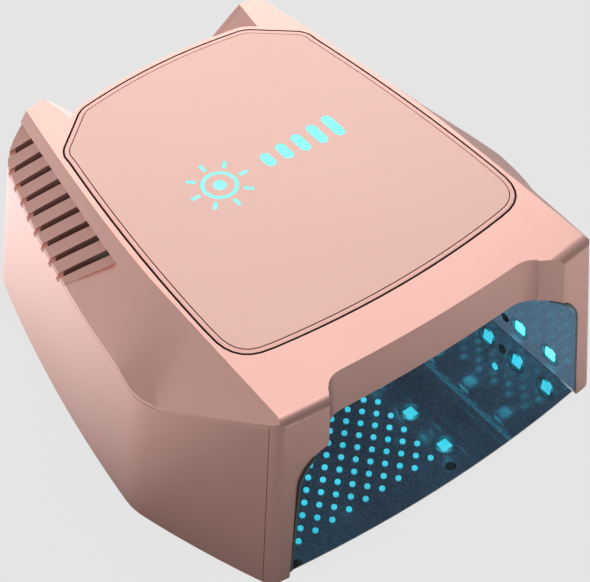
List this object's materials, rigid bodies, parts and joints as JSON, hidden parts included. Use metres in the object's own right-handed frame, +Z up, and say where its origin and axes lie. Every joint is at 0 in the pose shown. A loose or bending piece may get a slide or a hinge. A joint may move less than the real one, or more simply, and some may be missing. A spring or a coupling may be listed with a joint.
{
  "type": "uv led nail lamp",
  "caption": "Cordless nail curing lamp: arched rose-gold housing, mirror-lined hand chamber with emitters, louvred shoulders and removable mirrored base.",
  "frame": {"origin": "centre of the bounding box's underside, on the plane the feet stand on", "axes": "+Z up; -Y towards the open front where the hand goes in; +X to the right seen from the front"},
  "size_m": [0.2268, 0.2438, 0.1052],
  "materials": {
    "rose_shell": "satin rose-gold coating over moulded plastic",
    "rose_skirt": "satin rose-gold coating",
    "rose_louvre": "satin rose-gold coating",
    "rose_plate": "smooth pale rose coating",
    "rose_ring": "polished rose-gold coating",
    "light_guide": "translucent, glowing when on",
    "white_board": "white solder mask",
    "dark_plastic": "fine texture",
    "tray_metal": "thin sheet, brushed",
    "floor_mirror": "tinted mirror film",
    "steel": "zinc plated",
    "rubber": "soft, matte",
    "reflector": "tinted mirror film on plastic sheet",
    "cup_chrome": "bright reflector cup",
    "emitter": "clear resin, glowing when on",
    "black_gloss": "dark sensor window",
    "aluminium": "extruded, plain",
    "brass": "turned",
    "cell_wrap": "metal can in a shrink sleeve",
    "green_board": "green solder mask",
    "button_chrome": "silver coating",
    "indicator": "frosted window",
    "wire": "insulated lead"
  },
  "bodies": {
    "housing": {"top_shell": "rose_shell", "side_skirt_left": "rose_skirt", "side_skirt_right": "rose_skirt", "rear_panel": "rose_skirt", "vent_louvre_left": "rose_louvre", "vent_louvre_right": "rose_louvre", "top_plate": "rose_plate", "trim_ring": "rose_ring", "emblem_light_guide": "light_guide", "emblem_led_board": "white_board", "led_board_ceiling": "white_board", "led_board_left": "white_board", "led_board_right": "white_board", "chassis_rim": "dark_plastic", "battery_holder_left": "dark_plastic", "battery_holder_right": "dark_plastic", "fan_frame": "dark_plastic", "control_panel": "dark_plastic", "dc_inlet": "dark_plastic", "board_components": "dark_plastic", "body_magnets": "steel", "case_screws": "steel", "fan_shaft": "steel", "rubber_feet": "rubber", "reflector_ceiling": "reflector", "reflector_left": "reflector", "reflector_right": "reflector", "reflector_back": "reflector", "emitter_cups": "cup_chrome", "emitter_chips": "emitter", "light_points": "emitter", "sensor_windows": "black_gloss", "heat_spreader": "aluminium", "spacer_posts": "brass", "battery_cells": "cell_wrap", "main_board": "green_board", "button_board": "green_board", "charge_indicator": "indicator", "wiring_harness": "wire"},
    "base": {"base_tray": "tray_metal", "base_mirror": "floor_mirror", "tray_discs": "steel"},
    "rotor": {"fan_rotor": "dark_plastic"},
    "power_button": {"power_button": "button_chrome"},
    "timer_button_short": {"timer_button_short": "button_chrome"},
    "timer_button_medium": {"timer_button_medium": "button_chrome"},
    "timer_button_long": {"timer_button_long": "button_chrome"}
  },
  "joints": [
    {"name": "base_release", "type": "slide", "parent": "housing", "child": "base", "axis": [0, 0, -1], "range_m": [0, 0.04]},
    {"name": "fan_spin", "type": "hinge", "parent": "housing", "child": "rotor", "pos_m": [0, -0.01091, 0.0879], "axis": [0, 0, 1], "continuous": true},
    {"name": "power_button_press", "type": "slide", "parent": "housing", "child": "power_button", "axis": [0, -0.6937, -0.7203], "range_m": [0, 0.0012], "stiffness_N_per_m": 900, "springref_m": -0.0006},
    {"name": "timer_button_short_press", "type": "slide", "parent": "housing", "child": "timer_button_short", "axis": [0, -0.6937, -0.7203], "range_m": [0, 0.0012], "stiffness_N_per_m": 900, "springref_m": -0.0006},
    {"name": "timer_button_medium_press", "type": "slide", "parent": "housing", "child": "timer_button_medium", "axis": [0, -0.6937, -0.7203], "range_m": [0, 0.0012], "stiffness_N_per_m": 900, "springref_m": -0.0006},
    {"name": "timer_button_long_press", "type": "slide", "parent": "housing", "child": "timer_button_long", "axis": [0, -0.6937, -0.7203], "range_m": [0, 0.0012], "stiffness_N_per_m": 900, "springref_m": -0.0006}
  ]
}
